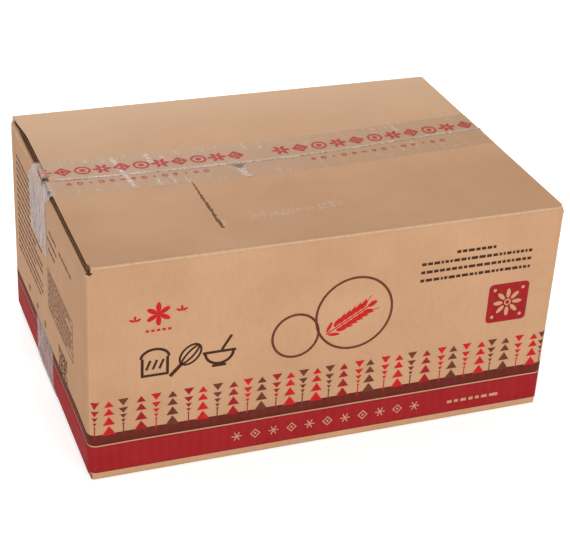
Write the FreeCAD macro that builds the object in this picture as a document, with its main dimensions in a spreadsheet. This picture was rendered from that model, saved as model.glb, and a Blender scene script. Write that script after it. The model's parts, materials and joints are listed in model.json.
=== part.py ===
# Regular slotted carton of corrugated board for 15 kg of baking fat, taped shut.
# Millimetres. +X along the carton's length, +Y to the back, +Z up.
# The origin is the centre of the underside, on the surface the carton stands on.
import FreeCAD, Part
import os
import Sketcher

DIMENSIONS = [
    # the closed carton, outside
    ("carton_length", 380.0),
    ("carton_width", 270.0),
    ("carton_height", 185.0),
    ("board_thickness", 4.0),
    ("corner_radius", 7.0),        # the four upright creases
    ("fold_radius", 4.5),          # creases of the outer flaps, front and back
    ("end_fold_radius", 4.0),      # creases of the inner flaps, at both ends
    # outer flaps: where they meet, and how far their cut ends stop short
    ("seam_gap", 1.6),
    ("seam_offset", 4.0),
    ("front_end_gap", 2.5),
    ("back_end_gap", 5.5),
    ("right_end_gap", 3.0),
    # at the top left the inner flap has sunk, so the outer ones overhang it
    ("left_fold_drop", 2.5),
    ("left_overhang", 6.0),
    # ends of the slots between the flaps, one of them torn open
    ("slot_end_radius", 1.4),
    ("slot_end_inset", 2.8),
    ("slot_end_depth", 6.5),
    ("torn_end_radius", 3.0),
    ("torn_end_inset", 3.2),
    ("torn_end_depth", 9.5),
    # tear in the front flap, running in from the seam
    ("tear_from_end", 112.0),
    ("tear_length", 101.0),
    ("tear_width", 1.4),
    ("tear_waver", 0.5),
    # the maker's joint, a cut edge beside the right-hand back crease
    ("joint_gap", 1.2),
    ("joint_inset", 7.5),
    # the two lengths of film tape over the seams
    ("tape_width", 60.0),
    ("tape_thickness", 0.2),
    ("tape_offset", 11.0),
    ("tape_reach", 2.5),           # below the end fold, where the film meets the wall
    ("top_tail_left", 66.0),
    ("top_tail_right", 55.0),
    ("bottom_tail_left", 44.0),
    ("bottom_tail_right", 50.0),
]
TEAR_STEPS = 6
CUT_MARGIN = 5.0                   # how far cutting outlines stand outside the carton

document = FreeCAD.newDocument("carton")
sheet = document.addObject("Spreadsheet::Sheet", "Size")
for row, (alias, value) in enumerate(DIMENSIONS, start=1):
    sheet.set(f"A{row}", alias)
    sheet.set(f"B{row}", str(value))
    sheet.setAlias(f"B{row}", alias)
document.recompute()

# Places that several pieces share, as formulas of the sheet.
RIGHT = "Size.carton_length / 2"
BACK = "Size.carton_width / 2"
TOP = "Size.carton_height"
SEAM = "Size.seam_offset"
UNDER_TOP = "(Size.carton_height - Size.board_thickness)"
LEFT_GAP_LEAST = "min(Size.front_end_gap; Size.back_end_gap)"
TAPE_FRONT = "Size.tape_offset - Size.tape_width / 2"
TAPE_BACK = "Size.tape_offset + Size.tape_width / 2"


def new_body(label):
    body = document.addObject("PartDesign::Body", label)
    body.Label = label
    return body


def new_sketch(body, name, plane, offset_formula=None):
    """A sketch on one of the body's own origin planes, moved along that plane's normal."""
    origin_plane = next(item for item in body.Origin.OriginFeatures if item.Role == plane)
    sketch = body.newObject("Sketcher::SketchObject", name)
    sketch.AttachmentSupport = (origin_plane, [""])
    sketch.MapMode = "FlatFace"
    if offset_formula:
        sketch.setExpression("AttachmentOffset.Base.z", offset_formula)
    document.recompute()
    return sketch


def value_of(sketch, formula):
    return float(sketch.evalExpression(formula))


def hold_point(sketch, geometry, end, across, up):
    """Ties one point of the sketch to its two formulas."""
    for kind, formula in (("DistanceX", across), ("DistanceY", up)):
        place = value_of(sketch, formula)
        index = sketch.addConstraint(
            Sketcher.Constraint(kind, -1, 1, geometry, end, place))
        sketch.setExpression(f"Constraints[{index}]", formula)


def draw_loop(sketch, corners):
    """A closed outline. A corner is (across, up) for a straight side to the next corner,
    or (across, up, radius, centre across, centre up) for a quarter-round one."""
    first = sketch.GeometryCount
    points = [FreeCAD.Vector(value_of(sketch, corner[0]), value_of(sketch, corner[1]), 0)
              for corner in corners]
    for number, corner in enumerate(corners):
        start, stop = points[number], points[(number + 1) % len(points)]
        if len(corner) == 2:
            sketch.addGeometry(Part.LineSegment(start, stop), False)
        else:
            radius = value_of(sketch, corner[2])
            centre = FreeCAD.Vector(value_of(sketch, corner[3]), value_of(sketch, corner[4]), 0)
            middle = centre + ((start + stop) / 2 - centre).normalize() * radius
            sketch.addGeometry(Part.Arc(start, middle, stop), False)
    for number, corner in enumerate(corners):
        geometry = first + number
        following = first + (number + 1) % len(corners)
        geometry_end, following_start = ends_that_meet(sketch, geometry, following)
        sketch.addConstraint(Sketcher.Constraint(
            "Coincident", geometry, geometry_end, following, following_start))
    for number, corner in enumerate(corners):
        geometry = first + number
        if len(corner) == 2:
            hold_point(sketch, geometry, 1, corner[0], corner[1])
        else:
            start_end = 1 if sketch.getPoint(geometry, 1).isEqual(points[number], 1e-6) else 2
            hold_point(sketch, geometry, start_end, corner[0], corner[1])
            index = sketch.addConstraint(Sketcher.Constraint(
                "Radius", geometry, value_of(sketch, corner[2])))
            sketch.setExpression(f"Constraints[{index}]", corner[2])


def ends_that_meet(sketch, one, other):
    for one_end in (2, 1):
        for other_end in (1, 2):
            if sketch.getPoint(one, one_end).isEqual(sketch.getPoint(other, other_end), 1e-6):
                return one_end, other_end
    raise ValueError("two sides of an outline don't meet")


def draw_rectangle(sketch, left, front, right, back):
    draw_loop(sketch, [(left, front), (right, front), (right, back), (left, back)])


def draw_circle(sketch, across, up, radius):
    geometry = sketch.addGeometry(Part.Circle(
        FreeCAD.Vector(value_of(sketch, across), value_of(sketch, up), 0),
        FreeCAD.Vector(0, 0, 1), value_of(sketch, radius)), False)
    hold_point(sketch, geometry, 3, across, up)
    index = sketch.addConstraint(
        Sketcher.Constraint("Radius", geometry, value_of(sketch, radius)))
    sketch.setExpression(f"Constraints[{index}]", radius)


def cut(body, sketch, name, depth_formula, reverse=False, both_sides=False):
    """A pocket that is stopped if it took nothing off the body."""
    before = body.Shape.Volume
    pocket = body.newObject("PartDesign::Pocket", name)
    pocket.Profile = sketch
    pocket.setExpression("Length", depth_formula)
    pocket.Reversed = reverse
    pocket.Midplane = both_sides
    document.recompute()
    if pocket.Shape.Volume >= before:
        raise ValueError(f"{name} took nothing off")
    return pocket


def draw_plan_outline(sketch):
    """The carton seen from above: a rectangle with its upright creases rounded."""
    radius = "Size.corner_radius"
    across, along = f"({RIGHT} - {radius})", f"({BACK} - {radius})"
    draw_loop(sketch, [
        (RIGHT, f"-{along}"),
        (RIGHT, along, radius, across, along),
        (across, BACK),
        (f"-{across}", BACK, radius, f"-{across}", along),
        (f"-({RIGHT})", along),
        (f"-({RIGHT})", f"-{along}", radius, f"-{across}", f"-{along}"),
        (f"-{across}", f"-({BACK})"),
        (across, f"-({BACK})", radius, across, f"-{along}"),
    ])


def draw_fold_cutters(sketch):
    """What lies outside the rounded creases of the outer flaps, seen along the carton."""
    radius = "Size.fold_radius"
    for side in ("1", "-1"):
        face, inner = f"{side} * {BACK}", f"{side} * ({BACK} - {radius})"
        clear = f"{side} * ({BACK} + {CUT_MARGIN})"
        for level, inward in ((TOP, "-1"), ("0", "1")):
            crease = f"{level} + {inward} * {radius}"
            beyond = f"{level} - {inward} * {CUT_MARGIN}"
            draw_loop(sketch, [
                (face, crease, radius, inner, crease),
                (inner, level),
                (inner, beyond),
                (clear, beyond),
                (clear, crease),
            ])


def draw_end_cutters(sketch, left_gap, right_gap):
    """What lies past the cut ends of one pair of outer flaps and outside the inner flaps'
    creases, which sit one board lower, seen from the front."""
    radius = "Size.end_fold_radius"
    for side, gap in (("-1", left_gap), ("1", right_gap)):
        wall, inner = f"{side} * {RIGHT}", f"{side} * ({RIGHT} - {radius})"
        flap_end = f"{side} * ({RIGHT} - {gap})"
        clear = f"{side} * ({RIGHT} + {CUT_MARGIN})"
        for level, inward in ((TOP, "-1"), ("0", "1")):
            underside = f"{level} + {inward} * Size.board_thickness"
            beyond = f"{level} - {inward} * {CUT_MARGIN}"
            if (side, level) == ("-1", TOP):
                ledge = f"{underside} + {inward} * Size.left_fold_drop"
                overhung = f"{flap_end} - {side} * Size.left_overhang"
                below_flap = [(inner, ledge), (overhung, ledge), (overhung, underside)]
            else:
                ledge = underside
                below_flap = [(inner, ledge)]
            crease = f"{ledge} + {inward} * {radius}"
            draw_loop(sketch, [
                (wall, crease, radius, inner, crease),
                *below_flap,
                (flap_end, underside),
                (flap_end, beyond),
                (clear, beyond),
                (clear, crease),
            ])


def draw_seam(sketch):
    draw_rectangle(sketch, f"-({RIGHT} + {CUT_MARGIN})", f"{SEAM} - Size.seam_gap / 2",
                   f"{RIGHT} + {CUT_MARGIN}", f"{SEAM} + Size.seam_gap / 2")


def draw_tear(sketch):
    """A ragged wedge, narrow at the seam, widest near its far end, with a pointed tip."""
    middle = f"-({RIGHT}) + Size.tear_from_end"
    sides = {-1: [], 1: []}
    for step in range(TEAR_STEPS):
        share = step / TEAR_STEPS
        waver = (-1) ** step
        for side, corners in sides.items():
            half_width = f"Size.tear_width * {0.25 + 0.3 * share}"
            corners.append((f"{middle} + {waver} * Size.tear_waver / 2 + {side} * {half_width}",
                            f"{SEAM} - {share} * Size.tear_length"))
    tip = (middle, f"{SEAM} - Size.tear_length")
    draw_loop(sketch, sides[-1] + [tip] + sides[1][::-1])


def slot_end_place(side, depth, inset="Size.slot_end_inset"):
    return f"{side} * ({RIGHT} - {inset})", f"{depth} * ({BACK} - {inset})"


def make_carton():
    """One blank, folded and filled: its flaps are part of it, and it is solid inside."""
    body = new_body("carton")
    outline = new_sketch(body, "plan_outline", "XY_Plane")
    draw_plan_outline(outline)
    walls = body.newObject("PartDesign::Pad", "walls")
    walls.Profile = outline
    walls.setExpression("Length", TOP)
    document.recompute()

    folds = new_sketch(body, "outer_fold_cutters", "YZ_Plane")
    draw_fold_cutters(folds)
    cut(body, folds, "outer_folds", f"2 * ({RIGHT} + {CUT_MARGIN})", both_sides=True)

    front_ends = new_sketch(body, "front_end_cutters", "XZ_Plane", f"-({SEAM})")
    draw_end_cutters(front_ends, "Size.front_end_gap", "Size.right_end_gap")
    cut(body, front_ends, "front_flap_ends", f"{BACK} + {SEAM} + {CUT_MARGIN}", reverse=True)
    back_ends = new_sketch(body, "back_end_cutters", "XZ_Plane", f"-({SEAM})")
    draw_end_cutters(back_ends, "Size.back_end_gap", "Size.right_end_gap")
    cut(body, back_ends, "back_flap_ends", f"{BACK} - {SEAM} + {CUT_MARGIN}")

    top_seam = new_sketch(body, "top_seam_outline", "XY_Plane", TOP)
    draw_seam(top_seam)
    cut(body, top_seam, "top_seam", "Size.board_thickness")
    bottom_seam = new_sketch(body, "bottom_seam_outline", "XY_Plane")
    draw_seam(bottom_seam)
    cut(body, bottom_seam, "bottom_seam", "Size.board_thickness", reverse=True)

    tear = new_sketch(body, "tear_outline", "XY_Plane", TOP)
    draw_tear(tear)
    cut(body, tear, "tear", "Size.board_thickness")

    corners = [("-1", "-1"), ("-1", "1"), ("1", "-1"), ("1", "1")]
    torn_corner, *whole_corners = corners
    top_slots = new_sketch(body, "top_slot_outlines", "XY_Plane", TOP)
    for corner in whole_corners:
        draw_circle(top_slots, *slot_end_place(*corner), "Size.slot_end_radius")
    cut(body, top_slots, "top_slot_ends", "Size.slot_end_depth")
    bottom_slots = new_sketch(body, "bottom_slot_outlines", "XY_Plane")
    for corner in corners:
        draw_circle(bottom_slots, *slot_end_place(*corner), "Size.slot_end_radius")
    cut(body, bottom_slots, "bottom_slot_ends", "Size.slot_end_depth", reverse=True)
    torn_slot = new_sketch(body, "torn_slot_outline", "XY_Plane", TOP)
    draw_circle(torn_slot, *slot_end_place(*torn_corner, "Size.torn_end_inset"),
                "Size.torn_end_radius")
    cut(body, torn_slot, "torn_slot_end", "Size.torn_end_depth")

    joint = new_sketch(body, "joint_outline", "XY_Plane", "Size.board_thickness")
    draw_rectangle(joint, f"{RIGHT} - Size.joint_inset - Size.joint_gap",
                   f"{BACK} - Size.board_thickness",
                   f"{RIGHT} - Size.joint_inset", f"{BACK} + {CUT_MARGIN}")
    cut(body, joint, "makers_joint", f"{UNDER_TOP} - Size.board_thickness", reverse=True)

    bed = new_sketch(body, "tape_bed_outline", "XY_Plane")
    draw_rectangle(bed, f"-({RIGHT} + {CUT_MARGIN})", TAPE_FRONT,
                   f"{RIGHT} + {CUT_MARGIN}", TAPE_BACK)
    cut(body, bed, "tape_bed", "Size.tape_thickness", reverse=True)
    return body


def make_tape(label, level, inward, left_drop, tail_left, tail_right):
    """A strip of film: up one end wall, over the cut ends of the flaps, along the seam
    and down the other end wall. inward is the sign from the level into the carton."""
    body = new_body(label)
    path = new_sketch(body, f"{label}_path", "XZ_Plane", "-Size.tape_offset")
    meets_wall = f"{level} + {inward} * (Size.board_thickness + Size.tape_reach)"
    points = [
        (f"-({RIGHT})", f"{level} + {inward} * {tail_left}"),
        (f"-({RIGHT})", f"{meets_wall} + {inward} * {left_drop}"),
        (f"-({RIGHT}) + {LEFT_GAP_LEAST}", level),
        (f"{RIGHT} - Size.right_end_gap", level),
        (RIGHT, meets_wall),
        (RIGHT, f"{level} + {inward} * {tail_right}"),
    ]
    for start, stop in zip(points, points[1:]):
        corners = [FreeCAD.Vector(value_of(path, across), value_of(path, up), 0)
                   for across, up in (start, stop)]
        geometry = path.addGeometry(Part.LineSegment(*corners), False)
        if geometry:
            path.addConstraint(Sketcher.Constraint("Coincident", geometry - 1, 2, geometry, 1))
        hold_point(path, geometry, 1, *start)
    hold_point(path, geometry, 2, *points[-1])
    section = new_sketch(body, f"{label}_section", "XY_Plane", points[0][1])
    draw_rectangle(section, f"-({RIGHT}) - Size.tape_thickness", TAPE_FRONT,
                   f"-({RIGHT})", TAPE_BACK)
    document.recompute()
    strip = body.newObject("PartDesign::AdditivePipe", f"{label}_strip")
    strip.Profile = section
    strip.Spine = path
    strip.Transition = "Right corner"
    document.recompute()
    return body


carton = make_carton()
top_tape = make_tape("top_tape", TOP, "-1", "Size.left_fold_drop",
                     "Size.top_tail_left", "Size.top_tail_right")
bottom_tape = make_tape("bottom_tape", "Size.tape_thickness", "1", "0",
                        "Size.bottom_tail_left", "Size.bottom_tail_right")
pieces = [carton, top_tape, bottom_tape]

document.recompute()
for item in document.Objects:
    if "Invalid" in item.State or "Error" in item.State:
        raise ValueError(f"{item.Label} failed")
for piece in pieces:
    if piece.Shape.isNull() or not piece.Shape.isValid() or len(piece.Shape.Solids) != 1:
        raise ValueError(f"{piece.Label} isn't one sound solid")

os.makedirs("parts", exist_ok=True)
for piece in pieces:
    piece.Shape.exportStep(f"parts/{piece.Label}.step")
    box = piece.Shape.BoundBox
    print(piece.Label, "volume", round(piece.Shape.Volume), "box",
          [round(edge, 2) for edge in (box.XMin, box.YMin, box.ZMin, box.XMax, box.YMax, box.ZMax)])
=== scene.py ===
import json
import math
import random
import bpy
from mathutils import Matrix, Vector

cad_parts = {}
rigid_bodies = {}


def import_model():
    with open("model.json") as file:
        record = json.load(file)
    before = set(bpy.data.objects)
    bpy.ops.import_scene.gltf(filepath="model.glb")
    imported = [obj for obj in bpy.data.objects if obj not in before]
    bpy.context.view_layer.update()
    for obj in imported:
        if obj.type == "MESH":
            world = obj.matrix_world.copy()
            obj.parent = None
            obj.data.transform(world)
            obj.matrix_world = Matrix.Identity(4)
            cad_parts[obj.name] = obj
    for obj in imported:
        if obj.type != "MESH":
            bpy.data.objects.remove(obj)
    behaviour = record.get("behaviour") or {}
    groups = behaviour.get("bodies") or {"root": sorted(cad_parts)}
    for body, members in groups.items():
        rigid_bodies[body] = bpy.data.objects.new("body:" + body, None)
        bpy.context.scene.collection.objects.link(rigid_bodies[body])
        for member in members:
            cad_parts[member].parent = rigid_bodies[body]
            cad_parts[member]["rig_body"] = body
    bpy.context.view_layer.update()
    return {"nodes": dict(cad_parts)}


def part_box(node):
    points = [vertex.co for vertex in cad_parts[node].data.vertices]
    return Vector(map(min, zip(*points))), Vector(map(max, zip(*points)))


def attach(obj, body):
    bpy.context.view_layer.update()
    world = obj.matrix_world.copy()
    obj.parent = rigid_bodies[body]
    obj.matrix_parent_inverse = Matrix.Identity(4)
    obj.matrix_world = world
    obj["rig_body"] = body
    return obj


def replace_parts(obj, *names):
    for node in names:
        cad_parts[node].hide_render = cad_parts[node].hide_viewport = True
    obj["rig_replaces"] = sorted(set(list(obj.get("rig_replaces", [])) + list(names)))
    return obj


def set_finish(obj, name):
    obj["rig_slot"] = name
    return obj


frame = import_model()
print("frame loaded")

# sizes of the closed carton
halfLength, halfWidth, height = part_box("carton")[1]
mm = 0.001
boardThickness = 4 * mm
seamPlace = 4 * mm  # the outer flaps meet this far behind the middle
flutePitch = 7.8 * mm
cuts = {
    "slotInset": 2.8 * mm,
    "slotRadius": 1.4 * mm,
    "tornInset": 3.2 * mm,
    "tornRadius": 3.0 * mm,
    "tornDepth": 9.5 * mm,
    "cornerRadius": 7 * mm,
    "leftDrop": 2.5 * mm,  # the inner flap has sunk this far at the top left
    "stepCloses": 85 * mm,  # from here back that step narrows to nothing
    "stepRun": 40 * mm,
    "seamDrift": 10 * mm,  # the seam runs this far back towards the right end
    "driftWidth": 60 * mm,
    "tearPlace": -78 * mm,
    "tearShut": -23 * mm,  # behind this the tape holds the tear together
}


def pick(piece):
    bpy.ops.object.select_all(action="DESELECT")
    piece.select_set(True)
    bpy.context.view_layer.objects.active = piece


def objectMode():
    bpy.ops.object.mode_set(mode="OBJECT")


def meshMode():
    bpy.ops.object.mode_set(mode="EDIT")


def editMode(piece, kind="FACE", action="DESELECT"):
    pick(piece)
    meshMode()
    bpy.ops.mesh.select_mode(type=kind)
    bpy.ops.mesh.select_all(action=action)


def selectFaces(piece, test):  # leaves the piece in edit mode with those faces selected
    editMode(piece)
    objectMode()
    for face in piece.data.polygons:
        face.select = bool(test(face))
    meshMode()


def deleteFaces(piece, test):
    selectFaces(piece, test)
    bpy.ops.mesh.delete(type="FACE")


def newPiece(name, mesh=None):
    piece = bpy.data.objects.new(name, mesh or bpy.data.meshes.new(name))
    bpy.context.scene.collection.objects.link(piece)
    return piece


def applyModifier(piece, kind, **settings):
    pick(piece)
    modifier = piece.modifiers.new(kind.lower(), kind)
    for key, value in settings.items():
        setattr(modifier, key, value)
    bpy.ops.object.modifier_apply(modifier=modifier.name)


def finishPiece(piece, *names):  # the first finish gives the slot
    piece.data.materials.clear()
    for name in names:
        piece.data.materials.append(finishes[name][0])
    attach(piece, "root")
    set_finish(piece, finishes[names[0]][1])


def smoothStep(value):
    value = max(0.0, min(1.0, value))
    return value * value * (3 - 2 * value)


def endOf(x):
    return -1 if x < 0 else 1


def newMaterial(name):
    look = bpy.data.materials.new(name)
    look.use_nodes = True
    look.node_tree.nodes.clear()
    return look


def node(owner, kind, **values):  # in_ and a number or name is an input
    made = owner.node_tree.nodes.new("ShaderNode" + kind)
    for key, value in values.items():
        if key.startswith("in_"):
            socket = made.inputs[int(key[3:]) if key[3:].isdigit() else key[3:].replace("_", " ")]
            if isinstance(value, bpy.types.NodeSocket):
                owner.node_tree.links.new(value, socket)
            else:
                socket.default_value = (*value, 1) if socket.type == "RGBA" else value
        else:
            setattr(made, key, value)
    return made.outputs


def mathNode(owner, operation, first, second=0.0, clamp=False):
    return node(owner, "Math", operation=operation, use_clamp=clamp, in_0=first, in_1=second)[0]


def plus(owner, first, second):
    return mathNode(owner, "ADD", first, second)


def minus(owner, first, second):
    return mathNode(owner, "SUBTRACT", first, second)


def times(owner, first, second):
    return mathNode(owner, "MULTIPLY", first, second)


def size(owner, value):
    return mathNode(owner, "ABSOLUTE", value)


def axes(owner, vector):
    return node(owner, "SeparateXYZ", in_0=vector)


def objectPlace(look):
    return node(look, "TexCoord")["Object"]


def mixColour(look, share, first, second):
    return node(look, "Mix", data_type="RGBA", in_0=share, in_6=first, in_7=second)[2]


def noiseNode(look, coords, scale, detail=2.0, rough=0.5, squeeze=None):
    if squeeze:
        coords = node(look, "Mapping", in_Vector=coords, in_Scale=squeeze)[0]
    return node(look, "TexNoise", in_Vector=coords, in_Scale=scale,
                in_Detail=detail, in_Roughness=rough)[0]


def rangeNode(look, value, low, high, toLow=0.0, toHigh=1.0):
    return node(look, "MapRange", in_0=value, in_1=low, in_2=high, in_3=toLow, in_4=toHigh)[0]


def bumpNode(look, relief):
    return node(look, "Bump", in_Strength=1.0, in_Distance=1.0, in_Height=relief)[0]


def finishMaterial(look, surface):
    node(look, "OutputMaterial", in_Surface=surface)
    return look


def matte(look, colour, rough, gloss, relief):
    shader = node(look, "BsdfPrincipled", in_Base_Color=colour, in_Roughness=rough,
                  in_Specular_IOR_Level=gloss, in_Normal=bumpNode(look, relief))
    return finishMaterial(look, shader[0])


def fluteWave(look, coords):  # 0 to 1 across each flute, which run up every wall and flap
    x, y = axes(look, coords)[:2]
    facing = axes(look, node(look, "TexCoord")["Normal"])[0]
    onEnds = mathNode(look, "GREATER_THAN", size(look, facing), 0.6)
    across = plus(look, times(look, x, minus(look, 1.0, onEnds)), times(look, y, onEnds))
    turns = times(look, across, 2 * math.pi / flutePitch)
    return rangeNode(look, mathNode(look, "SINE", turns), -1, 1)


kraft = {
    "light": (0.640, 0.372, 0.212),
    "dark": (0.568, 0.316, 0.173),
    "paintedSheen": (0.650, 0.430, 0.275),  # painted sheen on the top, towards the back
    "worn": (0.760, 0.530, 0.350),  # along the folds: wear, and a painted highlight
    "fleck": (0.300, 0.160, 0.080),
    "mostFleck": 0.30,
    "mostPaintedSheen": 0.75,
    "roughness": (0.72, 0.86),
    "gloss": 0.2,
    "washboardTone": 0.06,
    "washboardHeight": 0.030 * mm,
    "fibreHeight": 0.020 * mm,
}


def kraftColour(look, coords):
    blotch = noiseNode(look, coords, 14, 4, 0.6)
    fibre = noiseNode(look, coords, 420, 5, 0.62, squeeze=(1.0, 1.0, 0.35))
    speck = noiseNode(look, coords, 950, 2, 0.5)
    tone = plus(look, times(look, blotch, 0.7), times(look, fibre, 0.3))
    colour = mixColour(look, rangeNode(look, tone, 0.36, 0.64), kraft["dark"], kraft["light"])
    flecks = rangeNode(look, speck, 0.66, 0.78, 0, kraft["mostFleck"])
    return mixColour(look, flecks, colour, kraft["fleck"]), fibre


def washboard(look, wave, fibre, fibreHeight):
    return plus(look, times(look, wave, kraft["washboardHeight"]), times(look, fibre, fibreHeight))


def creaseLine(look, across, up, strength, start, fade):  # a thin pale line along a fold: wear, and a painted highlight
    apart = node(look, "VectorMath", operation="LENGTH",
                 in_0=node(look, "CombineXYZ", in_0=across, in_1=up)[0])[1]
    return rangeNode(look, apart, start * mm, (start + fade) * mm, strength, 0)


# wear along the folds, partly a painted highlight where the rounded creases face the light
def creaseWearAndHighlight(look, coords):
    x, y, z = axes(look, coords)
    besideX = minus(look, halfLength, size(look, x))
    besideY = minus(look, halfWidth, size(look, y))
    underTop = minus(look, height, z)
    sunk = times(look, mathNode(look, "LESS_THAN", x, 0.0), cuts["leftDrop"])
    underEnd = minus(look, underTop, plus(look, sunk, boardThickness))
    worn = 0.0  # then each fold: across, up, how strong, and where it starts and fades, in mm
    for line in ((besideY, underTop, 1.0, 1.95, 0.45), (besideY, z, 0.5, 1.95, 0.45),
                 (besideX, underEnd, 0.45, 1.7, 0.5), (besideX, besideY, 0.22, 2.95, 0.5)):
        worn = mathNode(look, "MAXIMUM", worn, creaseLine(look, *line))
    patchy = rangeNode(look, noiseNode(look, coords, 240, 4, 0.7), 0.34, 0.52, 0.35, 1.0)
    return times(look, worn, patchy)


def paintedSheenOnTop(look, coords):  # painted sheen: the top is a little paler towards the back
    y, z = axes(look, coords)[1:]
    onTop = rangeNode(look, z, height - 4 * mm, height - 1 * mm)
    back = plus(look, y, times(look, noiseNode(look, coords, 9, 3, 0.5), 0.06))
    return times(look, onTop, rangeNode(look, back, -0.02, 0.15, 0, kraft["mostPaintedSheen"]))


def boardMaterial():
    look = newMaterial("kraftBoard")
    coords = objectPlace(look)
    colour, fibre = kraftColour(look, coords)
    wave = fluteWave(look, coords)
    colour = mixColour(look, times(look, wave, kraft["washboardTone"]), colour, kraft["dark"])
    # painted sheen, paler towards the back of the top
    colour = mixColour(look, paintedSheenOnTop(look, coords), colour, kraft["paintedSheen"])
    # pale folds: wear, and a painted highlight
    colour = mixColour(look, creaseWearAndHighlight(look, coords), colour, kraft["worn"])
    rough = rangeNode(look, fibre, 0.3, 0.7, *kraft["roughness"])
    relief = washboard(look, wave, fibre, kraft["fibreHeight"])
    return matte(look, colour, rough, kraft["gloss"], relief)


bareFibre = {  # the noise's size and roughness, dark, light and relief
    "rawEdgeAndPaintedShade": (700, 0.65, (0.125, 0.052, 0.024), (0.310, 0.150, 0.070), 0.12 * mm),  # cut edges, and painted shade in hollows
    "tornLiner": (900, 0.70, (0.66, 0.44, 0.29), (0.82, 0.62, 0.46), 0.08 * mm),  # rubbed pale
}


def fibreMaterial(name):
    noiseSize, noiseRough, dark, light, relief = bareFibre[name]
    look = newMaterial(name)
    fibre = noiseNode(look, objectPlace(look), noiseSize, 4, noiseRough)
    colour = mixColour(look, rangeNode(look, fibre, 0.3, 0.7), dark, light)
    return matte(look, colour, rough=0.9, gloss=0.15, relief=times(look, fibre, relief))


inkSettings = {
    "roughness": (0.62, 0.74),
    "gloss": 0.10,
    "fibreHeight": 0.012 * mm,
}


def inkMaterial(name, ink, thin, rub):  # flat ink that lets a little of the board through
    look = newMaterial(name)
    coords = objectPlace(look)
    mottle = noiseNode(look, coords, 520, 4, 0.65, squeeze=(1.0, 1.0, 0.5))
    cloud = noiseNode(look, coords, 38, 4, 0.6)
    wave = fluteWave(look, coords)
    shade = plus(look, times(look, cloud, 0.6), times(look, wave, 0.12))
    colour = mixColour(look, rangeNode(look, shade, 0.22, 0.52), ink, thin)
    colour = mixColour(look, rangeNode(look, mottle, 0.60, 0.74, 0, rub), colour, kraft["dark"])
    rough = rangeNode(look, mottle, 0.3, 0.7, *inkSettings["roughness"])
    relief = washboard(look, wave, mottle, inkSettings["fibreHeight"])
    return matte(look, colour, rough, inkSettings["gloss"], relief)


filmTones = {
    "clear": (0.960, 0.958, 0.948),
    "milky": (0.84, 0.66, 0.53),
    "milkyPink": (0.85, 0.68, 0.60),
    "lilacMilkAndReflection": (0.80, 0.68, 0.66),  # where it has let go of the end walls: milky, with a painted lilac reflection
    "mostMilk": 0.88,
    "milkGloss": 0.15,
    "gloss": 0.07,
    "roughness": 0.50,
    "glossRoughness": 0.30,
    "strandHeight": 0.03 * mm,
}


def filmMaterial():  # clear film, milky where it has come away from the board
    look = newMaterial("clearFilm")
    coords = objectPlace(look)
    haze = node(look, "Attribute", attribute_name="haze")["Fac"]
    strands = noiseNode(look, coords, 330, 4, 0.6, squeeze=(1.0, 1.0, 0.18))
    cloud = noiseNode(look, coords, 90, 3, 0.55)
    uneven = times(look, haze, rangeNode(look, strands, 0.36, 0.62, 0.25, 1.35))
    share = rangeNode(look, uneven, 0, 1.6, 0, filmTones["mostMilk"])
    tone = mixColour(look, rangeNode(look, cloud, 0.35, 0.65), filmTones["milky"],
                     filmTones["milkyPink"])
    along = size(look, axes(look, coords)[0])
    # the tails are milky, tinted lilac as a painted reflection
    onTail = rangeNode(look, along, halfLength - 2 * mm, halfLength - 0.3 * mm)
    tone = mixColour(look, onTail, tone, filmTones["lilacMilkAndReflection"])
    bump = bumpNode(look, times(look, strands, filmTones["strandHeight"]))
    milk = node(look, "BsdfPrincipled", in_Base_Color=tone, in_Normal=bump,
                in_Roughness=filmTones["roughness"], in_Specular_IOR_Level=filmTones["milkGloss"])
    clear = node(look, "BsdfTransparent", in_Color=filmTones["clear"])
    body = node(look, "MixShader", in_0=share, in_1=clear[0], in_2=milk[0])
    sheen = node(look, "BsdfGlossy", in_Color=(1, 1, 1), in_Normal=bump,
                 in_Roughness=filmTones["glossRoughness"])
    facing = node(look, "LayerWeight", in_Blend=0.5, in_Normal=bump)["Facing"]
    glint = times(look, mathNode(look, "POWER", facing, 4.0), filmTones["gloss"])
    both = node(look, "MixShader", in_0=glint, in_1=body[0], in_2=sheen[0])
    return finishMaterial(look, both[0])


inkTones = {  # slot, full ink, where it is thin, and how much the board shows where it is rubbed
    "redInk": ("red_ink", (0.330, 0.014, 0.017), (0.385, 0.020, 0.023), 0.06),
    "brightRedInk": ("red_ink", (0.550, 0.014, 0.016), (0.620, 0.022, 0.022), 0.06),
    "brownInk": ("brown_ink", (0.140, 0.036, 0.020), (0.170, 0.050, 0.030), 0.10),
    "darkInk": ("brown_ink", (0.055, 0.018, 0.010), (0.075, 0.030, 0.018), 0.10),
    "bandBrown": ("brown_ink", (0.133, 0.018, 0.012), (0.155, 0.026, 0.017), 0.03),
    # painted shade: the grey of a gap in the seam under the film
    "hollowShade": ("kraft_board", (0.150, 0.125, 0.105), (0.210, 0.175, 0.150), 0.05),
    "endInk": ("brown_ink", (0.100, 0.040, 0.022), (0.130, 0.060, 0.036), 0.10),
    "tapeInk": ("red_ink", (0.500, 0.040, 0.045), (0.560, 0.065, 0.065), 0.10),
}
finishes = {  # material and slot
    "kraftBoard": (boardMaterial(), "kraft_board"),
    "rawEdgeAndPaintedShade": (fibreMaterial("rawEdgeAndPaintedShade"), "kraft_board"),
    "tornLiner": (fibreMaterial("tornLiner"), "kraft_board"),
    "clearFilm": (filmMaterial(), "film_tape"),
}
for name, (slotName, *tones) in inkTones.items():
    finishes[name] = inkMaterial(name, *tones), slotName
print("materials made")

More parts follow.
